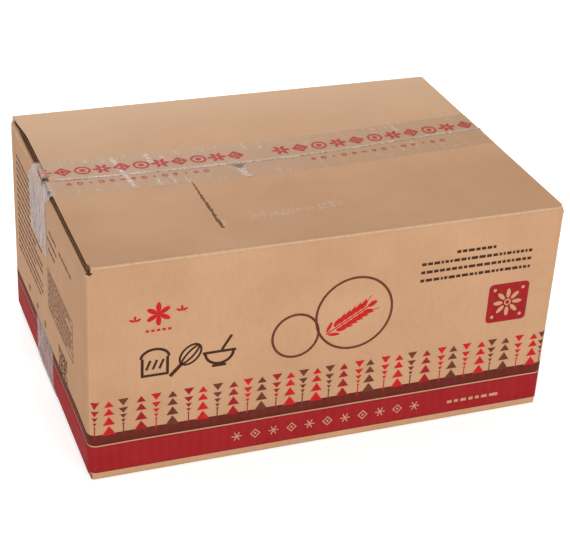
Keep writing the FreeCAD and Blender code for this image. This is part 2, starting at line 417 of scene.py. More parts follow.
boardSettings = {
    "cell": 5 * mm,  # the even grid that the panels are cut into
    "unevenness": 0.9 * mm,  # how far the panels wander in
    "unevenSize": 0.10,
    "topSag": 2.0 * mm,
    "topDepth": 12 * mm,  # what lies above this belongs to the top
    "calmEdge": 45 * mm,  # the panels are straight along their creases
    "liner": 0.3 * mm,
    "openDepth": 2.2 * mm,
    "inkRoom": 0.15 * mm,  # the long walls stand back this far for the ink
}
bandSettings = {
    "red": (7.8 * mm, 31.6 * mm),
    "redLowEnds": 1 * mm,
    "brown": (32.8 * mm, 42.2 * mm),
    "proud": 0.08 * mm,
}


def cutByPlanes(axis, places):
    normal = Vector([index == axis for index in range(3)])
    for place in places:
        bpy.ops.mesh.select_all(action="SELECT")
        bpy.ops.mesh.bisect(plane_co=normal * place, plane_no=normal)


def evenPlaces(low, high, step):
    count = max(1, round((high - low) / step))
    return [low + (high - low) * number / count for number in range(count + 1)]


def panelWeight(place):  # 0 along a panel's edges, 1 well inside it
    gaps = sorted((halfLength - abs(place.x), halfWidth - abs(place.y), place.z, height - place.z))
    return smoothStep(gaps[1] / boardSettings["calmEdge"])


def makeBoard():
    piece = newPiece("cartonBoard", frame["nodes"]["carton"].data.copy())
    piece.data.name = "cartonBoard"
    finishPiece(piece, "kraftBoard", "rawEdgeAndPaintedShade")
    editMode(piece, action="SELECT")
    bpy.ops.mesh.remove_doubles(threshold=0.01 * mm)
    bpy.ops.mesh.customdata_custom_splitnormals_clear()
    bpy.ops.mesh.dissolve_limited(angle_limit=math.radians(0.5))
    cell = boardSettings["cell"]
    for axis, half in ((0, halfLength), (1, halfWidth)):
        cutByPlanes(axis, evenPlaces(2 * cell - half, half - 2 * cell, cell))
    bands = [bandSettings["redLowEnds"], *bandSettings["red"], *bandSettings["brown"]]
    levels = evenPlaces(2 * cell, bands[2] - cell, cell)
    levels += evenPlaces(bands[4] + cell, height - 2 * cell, cell)
    cutByPlanes(2, bands + levels)
    objectMode()
    slantRedEdge(piece)
    openFlapEnds(piece)
    rawCutsAndPaintedShade(piece)
    for vertex in piece.data.vertices:
        for move in (closeBackCorner, easeTornCorner, shutTear):
            move(vertex.co)
    sagPanels(piece)
    for vertex in piece.data.vertices:
        driftSeam(vertex.co)
        vertex.co.y *= 1 - boardSettings["inkRoom"] / halfWidth
    pick(piece)
    bpy.ops.object.shade_smooth_by_angle(angle=math.radians(32))
    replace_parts(piece, "carton")
    print("board made:", len(piece.data.polygons), "faces")
    return piece


def slantRedEdge(piece):
    for corner in (-1, 1):
        selectFaces(piece, lambda face: abs(face.normal.x) > 0.3 and abs(face.normal.z) < 0.3
                    and face.center.z < 9 * mm and corner * face.center.y > halfWidth - 25 * mm)
        bpy.ops.mesh.bisect(plane_co=(0, corner * halfWidth, bandSettings["red"][0]),
                            plane_no=(0, -corner, 3))
        objectMode()


def makeRawAndShaded(piece):  # gives the selected faces the second finish: raw cut edges, and painted shade
    piece.active_material_index = 1
    bpy.ops.object.material_slot_assign()
    objectMode()


def openFlapEnds(piece):  # the cut ends of the outer flaps show two liners with a dark gap between
    def isFlapEnd(face):
        level = min(face.center.z, height - face.center.z)
        reach = halfLength - abs(face.center.x)
        return (abs(face.normal.x) > 0.95 and level < boardThickness and 1 * mm < reach < 7 * mm
                and abs(face.center.y) < halfWidth - 7 * mm)
    selectFaces(piece, isFlapEnd)
    bpy.ops.mesh.inset(thickness=boardSettings["liner"], use_boundary=True)
    bpy.ops.mesh.extrude_region_shrink_fatten(
        TRANSFORM_OT_shrink_fatten={"value": -boardSettings["openDepth"]})
    bpy.ops.mesh.select_more()
    makeRawAndShaded(piece)


def seamShift(x):  # how far the top seam and its tape have wandered back
    return smoothStep((x + 0.02) / 0.21)


def rawCutsAndPaintedShade(piece):  # seams, slots and the tear are raw inside; their floors and the open fold get the same dark finish as painted shade
    def isCut(face):
        place = face.center
        level = min(place.z, height - place.z)
        if level > cuts["tornDepth"] + 0.5 * mm:
            return False
        kind = "torn" if place.x < 0 and place.y < 0 and place.z > height / 2 else "slot"
        inset, radius = cuts[kind + "Inset"], cuts[kind + "Radius"]
        aside = Vector((abs(place.x) - halfLength + inset, abs(place.y) - halfWidth + inset))
        if aside.length < radius * 0.999:
            facing = Vector((face.normal.x * endOf(place.x), face.normal.y * endOf(place.y)))
            # the slot's walls are raw; the floor of the torn hole is painted shade
            return facing.dot(aside) < -0.3 * aside.length or face.normal.z > 0.9 and level > 5 * mm
        # painted shade on the sunk fold under the outer flap's end
        openFold = place.z > height / 2 and boardThickness - 0.1 * mm < level < boardThickness + 3.3 * mm
        shown = 1.9 if place.y < seamPlace else 3.4
        if openFold and shown * mm < place.x + halfLength < 12.5 * mm:
            return abs(place.y) < halfWidth - 5 * mm
        # the walls of the seam and the tear are raw; their floors are painted shade
        inside = abs(place.x) < halfLength - 8 * mm and abs(place.y) < halfWidth - 8 * mm
        return inside and (abs(face.normal.z) < 0.4 or level > 3 * mm)
    selectFaces(piece, isCut)
    makeRawAndShaded(piece)


def closeBackCorner(place):  # at the back corner the left fold still meets the outer flap
    near = smoothStep((place.y - cuts["stepCloses"]) / cuts["stepRun"])
    inward = place.x + halfLength
    level = height - place.z - boardThickness
    if near and level < 0.1 * mm and 5 * mm < inward <= 7 * mm:
        place.x -= 3 * mm * near
    elif near and inward <= 7 * mm and 0.1 * mm < level < cuts["leftDrop"] + 4.1 * mm:
        place.z += (cuts["leftDrop"] - 0.2 * mm) * near


def easeTornCorner(place):  # the torn place is a small hole at the fold, and the front fold is whole
    under = height - boardThickness
    sunk = under - cuts["leftDrop"] - 0.1 * mm
    radius = cuts["cornerRadius"]
    inward = place.x + halfLength
    aside = math.hypot(inward - cuts["tornInset"], place.y + halfWidth - cuts["tornInset"])
    if aside < cuts["tornRadius"] + 0.05 * mm and place.z > height - cuts["tornDepth"] - 0.1 * mm:
        place.z = max(place.z, sunk)
        place.x -= 0.65 * max(0, inward - 2.7 * mm)
        bulge = radius ** 2 - (place.x + halfLength - radius) ** 2
        if bulge > 0:  # stays on the rounded corner
            place.y = max(place.y, -halfWidth + radius - math.sqrt(bulge))
    elif (place.y < -halfWidth + 1 * mm and 3 * mm < inward < 8.7 * mm
          and sunk < place.z < under + 0.1 * mm):
        place.z = under - 0.4 * mm


def shutTear(place):
    aside = place.x - cuts["tearPlace"]
    if abs(aside) < 1.5 * mm and cuts["tearShut"] < place.y < seamPlace and place.z > height - 6 * mm:
        place.x -= 0.85 * aside * smoothStep((place.y - cuts["tearShut"]) / (5 * mm))


def driftSeam(place):  # the outer flaps don't meet quite square
    if place.z > height - boardThickness - 1 * mm and abs(place.y) < halfWidth - 10 * mm:
        near = 1 - smoothStep(abs(place.y - seamPlace) / cuts["driftWidth"])
        place.y += cuts["seamDrift"] * seamShift(place.x) * near


def sagPanels(piece):
    unevenness = bpy.data.textures.new("unevenness", "CLOUDS")
    unevenness.noise_scale = boardSettings["unevenSize"]
    top = height - boardSettings["topDepth"]
    sides = (
        ("top", "Z", -1, lambda place: place.z > top and abs(place.x) < halfLength - 1 * mm),
        ("front", "Y", 1, lambda place: place.y < -halfWidth + 1 * mm),
        ("back", "Y", -1, lambda place: place.y > halfWidth - 5 * mm and place.z < top),
        ("left", "X", 1, lambda place: place.x < -halfLength + 1 * mm),
        ("right", "X", -1, lambda place: place.x > halfLength - 1 * mm),
    )
    for name, direction, inward, belongs in sides:
        group = piece.vertex_groups.new(name=name)
        for vertex in piece.data.vertices:
            if belongs(vertex.co):
                group.add([vertex.index], panelWeight(vertex.co), "REPLACE")
        applyModifier(piece, "DISPLACE", texture=unevenness, texture_coords="LOCAL",
                      direction=direction, vertex_group=name, mid_level=0.0,
                      strength=inward * boardSettings["unevenness"])
    group = piece.vertex_groups.new(name="sag")
    for vertex in piece.data.vertices:
        if vertex.co.z > top:
            along = math.cos(math.pi / 2 * min(1.0, abs(vertex.co.x) / halfLength))
            across = math.cos(math.pi / 2 * min(1.0, abs(vertex.co.y) / halfWidth))
            group.add([vertex.index], along * smoothStep(across * 1.2), "REPLACE")
    applyModifier(piece, "DISPLACE", direction="Z", vertex_group="sag", mid_level=0.0,
                  strength=-boardSettings["topSag"])
    piece.vertex_groups.clear()


cartonBoard = makeBoard()


# printed bands, all the way round
def lowLine(place):  # the red runs to the very bottom of the end walls, but not at their corners
    fromCorner = halfWidth - abs(place.y)
    return max(bandSettings["redLowEnds"], bandSettings["red"][0] - fromCorner / 3)


def makeBand(name, finish, low, high, slanted=False):
    def inBand(face):
        place = face.center
        outside = max(abs(place.x) - halfLength, abs(place.y) - halfWidth) > -4 * mm
        start = lowLine(place) if slanted and abs(face.normal.x) > abs(face.normal.y) else low
        return abs(face.normal.z) < 0.5 and outside and start < place.z < high
    selectFaces(cartonBoard, inBand)
    bpy.ops.mesh.duplicate()
    bpy.ops.mesh.separate(type="SELECTED")
    objectMode()
    piece = next(item for item in bpy.context.selected_objects if item != cartonBoard)
    piece.name = piece.data.name = name
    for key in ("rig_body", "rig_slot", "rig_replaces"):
        if key in piece:
            del piece[key]
    editMode(piece, action="SELECT")
    bpy.ops.transform.shrink_fatten(value=bandSettings["proud"])
    objectMode()
    applyModifier(piece, "SOLIDIFY", thickness=1.5 * bandSettings["proud"], offset=-1)
    finishPiece(piece, finish)


makeBand("redBand", "redInk", *bandSettings["red"], slanted=True)
makeBand("brownBand", "bandBrown", *bandSettings["brown"])
print("bands made")


# every print is drawn flat, in millimetres on the XY plane, and in edit mode
def drawFlat(name, draw):
    piece = newPiece(name)
    editMode(piece)
    draw()
    objectMode()
    return piece


def resizeAbout(x, y, across, up):
    bpy.ops.transform.resize(value=(across, up, 1), center_override=(x * mm, y * mm, 0))


def turnAbout(x, y, degrees):  # with no window the operator turns the other way
    if degrees:
        bpy.ops.transform.rotate(value=-math.radians(degrees), orient_axis="Z",
                                 center_override=(x * mm, y * mm, 0))


def drawBar(x, y, length, width, degrees=0):
    bpy.ops.mesh.primitive_plane_add(size=mm, location=(x * mm, y * mm, 0))
    resizeAbout(x, y, length, width)
    turnAbout(x, y, degrees)


def drawDisc(x, y, radius, squash=1.0, degrees=0, sides=18):
    bpy.ops.mesh.primitive_circle_add(vertices=sides, radius=radius * mm, fill_type="NGON",
                                      location=(x * mm, y * mm, 0))
    if squash != 1:
        resizeAbout(x, y, 1, squash)
    turnAbout(x, y, degrees)


def drawRing(x, y, radius, stroke, squash=1.0, degrees=0, sides=32):
    drawDisc(x, y, radius, squash, degrees, sides)
    bpy.ops.mesh.inset(thickness=stroke * mm)
    bpy.ops.mesh.delete(type="FACE")


def drawHalfRing(x, y, radius, stroke, squash=1.0, upper=True):
    piece = bpy.context.object
    objectMode()
    before = len(piece.data.polygons)
    meshMode()
    drawRing(x, y, radius, stroke, squash)
    objectMode()
    deleteFaces(piece, lambda face: face.index >= before and (face.center.y < y * mm) == upper)


def drawPetals(x, y, turns, reach, radius, squash, sides):
    for turn in turns:
        angle = math.radians(turn)
        drawDisc(x + reach * math.cos(angle), y + reach * math.sin(angle), radius, squash, turn, sides)


def drawTriangle(x, low, high, width):  # points down when high is under low
    centre = low + (high - low) / 3
    bpy.ops.mesh.primitive_circle_add(vertices=3, radius=mm, fill_type="NGON",
                                      location=(x * mm, centre * mm, 0))
    if high < low:
        turnAbout(x, centre, 180)
    resizeAbout(x, centre, width / math.sqrt(3), abs(high - low) / 1.5)


def drawDashes(dice, left, right, y, tall, lengths=(3, 10), gap=1.7):  # stands for a line of words
    while left < right - 2:
        length = min(dice.uniform(*lengths), right - left)
        drawBar(left + length / 2, y, length, tall)
        left += length + gap


def cutInCells(piece, cell):  # so that a print can follow the uneven board
    corners = [vertex.co.copy() for vertex in piece.data.vertices]
    meshMode()
    for axis in (0, 1):
        row = [corner[axis] for corner in corners]
        low, high = min(row), max(row)
        places = [number * cell for number in range(math.ceil(low / cell), math.floor(high / cell) + 1)]
        for side, reach in ((-1, -low), (1, high)):
            if axis == 0 and reach > halfLength - 6 * mm:  # it goes round the corner
                places += [side * (halfLength - number * mm) for number in range(-2, 9)]
        cutByPlanes(axis, places)
    objectMode()


walls = {  # where a flat print goes: its turn about Z and the way out along X and Y
    "front": (0, 0, -1),
    "right": (90, 1, 0),
    "back": (180, 0, 1),
    "left": (-90, -1, 0),
}
printSettings = {
    "cell": 8 * mm,
    "topCell": 4 * mm,
    "lift": 0.10 * mm,
    "liftOverBand": 0.20 * mm,
    "thickness": 0.14 * mm,
}


def wrapPrint(piece, target, lift, thickness, finish):
    pick(piece)
    bpy.ops.object.transform_apply(location=True, rotation=True, scale=False)
    applyModifier(piece, "SHRINKWRAP", target=target, wrap_method="NEAREST_SURFACEPOINT",
                  wrap_mode="ABOVE_SURFACE", offset=lift)
    applyModifier(piece, "SOLIDIFY", thickness=thickness, offset=-1)
    finishPiece(piece, finish)


def printWalls(wallNames, name, draw, finish):  # bare board as a finish lies on the red band
    flat = drawFlat(name, draw)
    cutInCells(flat, printSettings["cell"])
    lift = printSettings["liftOverBand" if finish == "kraftBoard" else "lift"]
    for wall in wallNames:
        turn, x, y = walls[wall]
        piece = newPiece(wall + name[0].upper() + name[1:], flat.data.copy())
        piece.data.name = piece.name
        piece.rotation_euler = (math.pi / 2, 0, math.radians(turn))
        piece.location = (x * halfLength, y * halfWidth, 0)
        wrapPrint(piece, cartonBoard, lift, printSettings["thickness"], finish)
    bpy.data.objects.remove(flat)


# the border of stacked triangles, standing on the brown band
borderSettings = {
    "colours": "drbdrbdrbdrbdrbrbdrbrrbdrbrrbbrrb",  # deep red, red and brown
    "first": -185.5,
    "pitch": 11.59,
    "nudges": (0, -0.5, -1, 1, 1, 2, 3, 2.5, 2.5, 3.5, 3.5, 3, 3.5, 3, 2, 1.5, 0.5, 0.5, 2, -0.5, 1, 1,
               0.5, 1.5, 3, 1.5, 1.5, 3, 1, 1.5, 2, 3.5, 0),  # the row isn't quite even
    "rising": ((65.9, 71.2, 7.3), (58.8, 64.8, 8.4), (50.0, 57.4, 9.5), (41.0, 49.1, 10.9)),
    "hanging": ((71.5, 65.4, 8.2), (63.7, 59.0, 7.4), (57.9, 54.3, 5.4), (53.3, 50.3, 3.6),
                (49.6, 47.6, 2.2)),
    "stem": (44.6, 10.2, 0.9),  # middle, length and width
}


def drawBorder(colour):
    for number, (shade, nudge) in enumerate(zip(borderSettings["colours"], borderSettings["nudges"])):
        if shade != colour:
            continue
        x = borderSettings["first"] + borderSettings["pitch"] * number + nudge
        hanging = number % 2 == 0
        for low, high, width in borderSettings["hanging" if hanging else "rising"]:
            drawTriangle(x, low, high, width)
        if hanging:
            middle, length, width = borderSettings["stem"]
            drawBar(x, middle, width, length)


wallPrint = {
    "rings": ((17, 116, 32.0, 2.0), (-30, 103.5, 19.5, 2.0)),  # x, height, radius and stroke
    "ear": (-6, 100, 30, 121),  # foot and tip
    "sign": (-137, 140),
    "stamp": (148.5, 105, 35),  # x, height and side
    "goods": ((-139.5, 98.5), (-115, 98.5), (-90, 99.5)),
    "words": ((98.5, 132.5, 157.4), (70, 164, 150), (70, 164, 142.8), (70, 164, 135.6)),
    "wordTall": 2.5,
    "wordSeed": 11,
    "marks": (-73.7, 15, 19.6),  # first, pitch and height
    "markSeed": 4,
}


def drawRings():
    for x, y, radius, stroke in wallPrint["rings"]:
        drawRing(x, y, radius, stroke, sides=56)


def drawEar():  # an ear of wheat in flat facets
    footX, footY, tipX, tipY = wallPrint["ear"]
    turn = math.degrees(math.atan2(tipY - footY, tipX - footX))
    along = Vector((math.cos(math.radians(turn)), math.sin(math.radians(turn))))
    out = Vector((-along.y, along.x))
    foot = Vector((footX, footY))
    drawBar((footX + tipX) / 2, (footY + tipY) / 2, 40, 1.1, turn)
    for number in range(6):
        for side in (-1, 1):
            place = foot + along * (13 + 4.9 * number) + out * side * 3.6
            drawDisc(*place, 4.6, 0.46, turn + side * 24, sides=6)
            drawBar(*(place + along * 6 + out * side * 2.4), 6, 0.6, turn + side * 20)
    drawDisc(*(foot + along * 43.5), 4.4, 0.5, turn, sides=6)
    for side in (-1, 1):
        drawDisc(*(foot + along * 6 + out * side * 4), 5.2, 0.30, turn + side * 34, sides=6)


def drawSign():  # a small rosette between two sprigs
    x, y = wallPrint["sign"]
    drawPetals(x, y, range(30, 390, 60), 5.6, 4.4, 0.46, 12)
    drawDisc(x, y, 1.7, sides=10)
    for side in (-1, 1):
        drawPetals(x + side * 17.5, y - 2 + side * 2, (25, 90, 155), 2.6, 2.4, 0.42, 8)
    for step in range(5):
        drawBar(x - 8.4 + 4.2 * step, y - 13.5, 2.6, 2.0)


def drawStamp():
    x, y, side = wallPrint["stamp"]
    drawBar(x, y, side, side)
    bpy.ops.mesh.bevel(offset=3.6 * mm, segments=4, affect="VERTICES")


def drawStampFlower():
    x, y, side = wallPrint["stamp"]
    drawPetals(x, y, range(0, 360, 45), 8.2, 4.2, 0.42, 12)
    drawRing(x, y, 2.9, 1.1, sides=16)
    for across in (-1, 1):
        for up in (-1, 1):
            drawDisc(x + across * 12.2, y + up * 12.2, 1.5, sides=8)


def drawLoaf(x, y):
    drawHalfRing(x, y + 4.5, 11.8, 2.2, squash=0.72)
    drawBar(x, y - 10.5, 21, 2.2)
    for side in (-9.6, 9.6):
        drawBar(x + side, y - 3.2, 2.2, 15.5)
    for step in (-5, 0, 5):
        drawBar(x + step, y - 1.5, 8.5, 1.9, 68)


def drawWhisk(x, y):
    drawBar(x - 8.5, y - 9, 13, 3.0, 47)
    for squash in (0.68, 0.30):
        drawRing(x + 2.6, y + 2.8, 10.8, 1.7, squash=squash, degrees=47)


def drawBowl(x, y):
    drawHalfRing(x, y, 12, 2.2, squash=0.9, upper=False)
    drawBar(x, y + 0.6, 26, 2.2)
    drawBar(x, y - 11.4, 11, 2.2)
    drawBar(x + 5.5, y + 7.6, 14, 2.2, 58)


def drawGoods():  # three kitchen pictograms where the goods are named
    for draw, place in zip((drawLoaf, drawWhisk, drawBowl), wallPrint["goods"]):
        draw(*place)


def drawWords():
    dice = random.Random(wallPrint["wordSeed"])
    for left, right, y in wallPrint["words"]:
        drawDashes(dice, left, right, y, wallPrint["wordTall"], lengths=(1.8, 5.5), gap=1.2)


def drawBandMarks():  # pale marks on the red band
    first, pitch, y = wallPrint["marks"]
    for number in range(11):
        x = first + pitch * number
        if number % 2:
            drawRing(x, y, 4.3, 0.8, sides=4)
            drawDisc(x, y, 1.0, sides=8)
        else:
            for turn in (0, 60, 120):
                drawBar(x, y, 8.4, 0.85, turn)
    drawDashes(random.Random(wallPrint["markSeed"]), 105.5, 155, y - 2, 2.6, lengths=(3, 8), gap=2.2)


endPrint = {  # the small print on both end walls
    "seed": 7,
    "lines": ((150, 11, 37), (150, 46, 87), (141.5, 4, 40), (133, 7, 30)),
    "lineTall": 2.6,
    "paragraph": (-113, -18, 70, 158, 6.1, 2.4),  # left, right, low, high, pitch and tall
    "table": (2, 87, 77, 113, 6),  # left, right, low, high and rows
    "block": (51, 50, 28, 14),  # x, height, side and modules
    "marks": (-74, -43, -13),  # 16, 4 and 6 sides
}


def drawEndWords():
    dice = random.Random(endPrint["seed"])
    for y, left, right in endPrint["lines"]:
        drawDashes(dice, left, right, y, endPrint["lineTall"])
    left, right, low, high, pitch, tall = endPrint["paragraph"]
    for number in range(int((high - low) / pitch) + 1):
        short = dice.uniform(0, 30) if number % 3 == 2 else 0
        drawDashes(dice, left, right - short, high - pitch * number, tall, lengths=(4, 14))


def drawEndTable():
    dice = random.Random(endPrint["seed"] + 1)
    left, right, low, high, rows = endPrint["table"]
    middle, span = (left + right) / 2, right - left
    for number in range(rows + 1):
        drawBar(middle, low + (high - low) * number / rows, span, 0.8)
    for x in (left, left + 0.32 * span, right):
        drawBar(x, (low + high) / 2, 0.8, high - low)
    for number in range(rows):
        y = low + (high - low) * (number + 0.5) / rows
        drawDashes(dice, left + 3, left + 0.30 * span, y, 2.0, lengths=(3, 8))
        drawDashes(dice, left + 0.32 * span + 3, right - dice.uniform(3, 25), y, 2.0, lengths=(3, 9))


def drawEndBlock():  # a mottled square of small modules, and three marks
    x, y, side, modules = endPrint["block"]
    bpy.ops.mesh.primitive_grid_add(x_subdivisions=modules, y_subdivisions=modules, size=side * mm,
                                    location=(x * mm, y * mm, 0))
    objectMode()
    dice = random.Random(endPrint["seed"] + 2)
    deleteFaces(bpy.context.object, lambda face: dice.random() < 0.42)
    for left, sides in zip(endPrint["marks"], (16, 4, 6)):
        drawRing(left, 52, 3.4, 0.9, sides=sides)
        drawDisc(left, 52, 1.2, sides=8)


longPrints = (
    ("deepRedTrees", lambda: drawBorder("d"), "redInk"),
    ("redTrees", lambda: drawBorder("r"), "brightRedInk"),
    ("brownTrees", lambda: drawBorder("b"), "brownInk"),
    ("rings", drawRings, "brownInk"),
    ("ear", drawEar, "brightRedInk"),
    ("sign", drawSign, "brightRedInk"),
    ("stamp", drawStamp, "redInk"),
    ("stampFlower", drawStampFlower, "kraftBoard"),
    ("goods", drawGoods, "darkInk"),
    ("words", drawWords, "darkInk"),
    ("bandMarks", drawBandMarks, "kraftBoard"),
)
for wallDrawing in longPrints:
    printWalls(("front", "back"), *wallDrawing)
print("long walls printed")
for name, draw in (("smallPrint", drawEndWords), ("smallTable", drawEndTable),
                   ("squareBlock", drawEndBlock)):
    printWalls(("left", "right"), name, draw, "endInk")
print("end walls printed")

# film tape: a flat strip, folded over both ends, then wrinkled where it has lifted
filmSettings = {
    "width": 60 * mm,
    "cell": 1.25 * mm,
    "bend": 0.8 * mm,  # how softly the film turns at a fold
    "lift": 0.12 * mm,
    "thickness": 0.04 * mm,
    "airLift": 0.30 * mm,  # under the milky streaks
    "crumple": 0.75 * mm,
    "crumpleSize": 0.007,
    "teeth": 1.1 * mm,  # the cut ends are serrated
}
topTape = {  # -1 is the left end and 1 the right
    "level": height, "up": 1, "centre": 9, "drift": 6, "skew": 20, "skewRun": 20,
    -1: {"hinge": 187.9, "slope": 74, "end": 119, "milk": 0.72},
    1: {"hinge": 187.4, "slope": 65, "end": 130, "milk": 0.50},
}
bottomTape = {
    "level": 0.2 * mm, "up": -1, "centre": 11, "drift": 0, "skew": 4.5, "skewRun": 8,
    -1: {"hinge": 187.7, "slope": 69, "end": 44, "milk": 0.50},
    1: {"hinge": 187.4, "slope": 69, "end": 50, "milk": 0.42},
}
streaks = (  # x, from y, to y, width and strength of the milky folds across the top tape
    (-126, 37, -22, 4.6, 1.0), (-100, 38, 17, 5.0, 0.9), (-103, -8, -22, 3.5, 0.8),
    (-88.5, 32, 17, 3.0, 0.7), (-75, 38, 28, 2.5, 0.6), (-91, -4, -22, 2.5, 0.6),
    (-79.5, -11, -25, 2.5, 0.5), (-150, 36, 28, 2.5, 0.7), (-136.5, 37, 22, 2.5, 0.5),
    (-18, 40, 25, 2.5, 0.6), (-5.6, 33, 24, 2.5, 0.6), (97, 45, 26, 3.0, 0.6),
    (117, 42, 26, 3.0, 0.8), (110, 41, 34, 2.5, 0.7), (121, 8, -7, 3.0, 0.7),
    (108, 0, -11, 2.5, 0.6), (170, 42, 34, 2.5, 0.5), (35, 30, 15, 2.5, 0.4),
    (69, 40, 25, 2.5, 0.4), (-32.5, -4, -25, 9.0, 0.9),
)
streakDice = random.Random(21)
combStreaks = [(streakDice.uniform(-180, 180), streakDice.choice((-1, 1)), streakDice.uniform(6, 17),
                streakDice.uniform(0.8, 1.6), streakDice.uniform(0.15, 0.45)) for number in range(130)]


def tapeCentre(tape, along):
    return (tape["centre"] + tape["drift"] * seamShift(along)) * mm


def seamLine(along):  # where the ridge over the seam runs
    ease = 1.5 * mm * (1 - smoothStep((along + 0.19) / 0.06))
    return seamPlace + ease + cuts["seamDrift"] * seamShift(along)


def streakAt(tape, along, across):  # 0 where the film is clear, 1 where it is milky
    x, y = along / mm, across / mm
    haze = 0.03
    if tape is topTape:
        for place, start, stop, width, strength in streaks:
            if abs(x - place) < 6 and stop - 2 < y < start + 2:
                lean = 0.10 * (y - (start + stop) / 2)
                core = 1 - smoothStep((abs(x - place + lean) - width * 0.32) / 1.2)
                ends = smoothStep((y - stop) / 3) * smoothStep((start - y) / 3)
                haze = max(haze, strength * core * ends)
        centre = tapeCentre(tape, along)
        edge = 30 - abs(across - centre) / mm
        back = 1 if across > centre else -1
        for place, side, reach, width, strength in combStreaks:
            if side == back and abs(x - place) < 2 and edge < reach:
                core = 1 - smoothStep((abs(x - place) - width * 0.3) / 0.9)
                haze = max(haze, 0.03 + 0.8 * strength * core * smoothStep((reach - edge) / 5))
        ridge = 1 - smoothStep((abs(across - seamLine(along)) / mm - 0.9) / 1.2)
        haze = max(haze, (0.80 + 0.30 * math.sin(x / 7) * math.sin(x / 17 + 1)) * ridge)
    return haze


def foldEnd(piece, flat, tape, side):  # the outermost hinge turns first
    shape = tape[side]
    first = math.radians(shape["slope"])
    second = math.pi / 2 - first
    bend = filmSettings["bend"]
    turned = [first / 3, first * 2 / 3, first + second / 3, first + second * 2 / 3]
    start = shape["hinge"] * mm
    reach = halfLength + filmSettings["lift"] - start
    run = (reach - bend * sum(math.cos(turn) for turn in turned)) / math.cos(first)
    hinges = [(0, first), (bend, first), (2 * bend, first),
              (2 * bend + run, second), (3 * bend + run, second), (4 * bend + run, second)]
    level = tape["level"] + tape["up"] * filmSettings["lift"]
    for offset, whole in reversed(hinges):
        hinge = start + offset
        editMode(piece, "VERT")
        objectMode()
        for vertex, (along, across) in zip(piece.data.vertices, flat):
            vertex.select = along * side > hinge
        meshMode()
        bpy.ops.transform.rotate(value=-side * tape["up"] * whole / 3, orient_axis="Y",
                                 center_override=(side * hinge, 0, level))
        objectMode()
    return start + 4 * bend + run


def flatFilm(name, tape):
    length, width, cell = 2 * halfLength + 0.16, filmSettings["width"], filmSettings["cell"]
    bpy.ops.mesh.primitive_grid_add(x_subdivisions=round(length / cell), size=1, location=(0, 0, 0),
                                    y_subdivisions=round(width / cell))
    piece = bpy.context.object
    piece.name = piece.data.name = name
    editMode(piece, action="SELECT")
    bpy.ops.transform.resize(value=(length, width, 1), center_override=(0, 0, 0))
    bpy.ops.transform.translate(value=(0, tape["centre"] * mm,
                                       tape["level"] + tape["up"] * filmSettings["lift"]))
    if tape["up"] < 0:
        bpy.ops.mesh.flip_normals()
    objectMode()
    return piece


def loosenFilm(piece, flat, tape, tails):  # skews it, and marks where it is milky and stands off
    air, loose = (piece.vertex_groups.new(name=name) for name in ("air", "loose"))
    amounts = []
    for vertex, (along, across) in zip(piece.data.vertices, flat):
        side = endOf(along)
        past = (abs(along) - tails[side]) / mm  # how far down the tail
        vertex.co.y += tape["drift"] * mm * seamShift(along)
        if side < 0:
            vertex.co.y += tape["skew"] * mm * smoothStep((past + 6) / tape["skewRun"])
        crumple = smoothStep((past - (-11 if side < 0 else 2)) / 7)
        openSeam = side < 0 and tape["up"] > 0 and -16 < past < 1 and abs(vertex.co.y / mm - 8) < 3
        amount = 0.02 if openSeam else max(streakAt(tape, along, vertex.co.y),
                                           tape[side]["milk"] * crumple)
        amounts.append(amount)
        fold = (1 if side < 0 else 0.2) * (1 - smoothStep((abs(past + 3) - 8) / 8))
        if tape["up"] < 0:  # nothing stands out under the carton
            onWall = smoothStep(past / 4)
            fold, amount, crumple = 0, amount * onWall, crumple * onWall
        air.add([vertex.index], min(1.0, amount), "REPLACE")
        loose.add([vertex.index], max(0.45 * crumple, fold), "REPLACE")
    haze = piece.data.attributes.new("haze", "FLOAT", "POINT")
    haze.data.foreach_set("value", amounts)


def cutTails(piece, tape):  # what hangs past the ends is cut off in small teeth
    def left(place):  # how much of the tail is below a place, or a lot on the top
        onWall = abs(place.x) > halfLength - 1 * mm
        return (place.z - tape[endOf(place.x)]["end"] * mm) * tape["up"] if onWall else height
    deleteFaces(piece, lambda face: left(face.center) < 0)
    objectMode()
    cell = filmSettings["cell"]
    for vertex in piece.data.vertices:
        if left(vertex.co) < 0.7 * cell and round(vertex.co.y / cell) % 2:
            vertex.co.z += tape["up"] * filmSettings["teeth"]


def makeFilm(name, tape, replaced):
    piece = flatFilm(name, tape)
    flat = [(vertex.co.x, vertex.co.y) for vertex in piece.data.vertices]
    tails = {side: foldEnd(piece, flat, tape, side) for side in (-1, 1)}
    loosenFilm(piece, flat, tape, tails)
    cutTails(piece, tape)
    crumples = bpy.data.textures.new("crumples", "CLOUDS")
    crumples.noise_scale = filmSettings["crumpleSize"]
    crumples.noise_depth = 3
    applyModifier(piece, "DISPLACE", texture=crumples, texture_coords="LOCAL", vertex_group="loose",
                  mid_level=0.15, strength=filmSettings["crumple"])
    applyModifier(piece, "DISPLACE", vertex_group="air", mid_level=0.0, strength=filmSettings["airLift"])
    piece.vertex_groups.clear()
    sagPanels(piece)
    for vertex in piece.data.vertices:  # the film stays within the carton's outline
        place = vertex.co
        place.x = max(-halfLength - 0.12 * mm, min(halfLength + 0.12 * mm, place.x))
        place.z = max(0.05 * mm, min(height + 0.10 * mm, place.z))
    applyModifier(piece, "SOLIDIFY", thickness=filmSettings["thickness"], offset=-1)
    pick(piece)
    bpy.ops.object.shade_smooth_by_angle(angle=math.radians(60))
    finishPiece(piece, "clearFilm")
    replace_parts(piece, replaced)
    return piece


tapeTop = makeFilm("tapeTop", topTape, "top_tape")
makeFilm("tapeBottom", bottomTape, "bottom_tape")
print("film laid:", len(tapeTop.data.polygons), "faces")

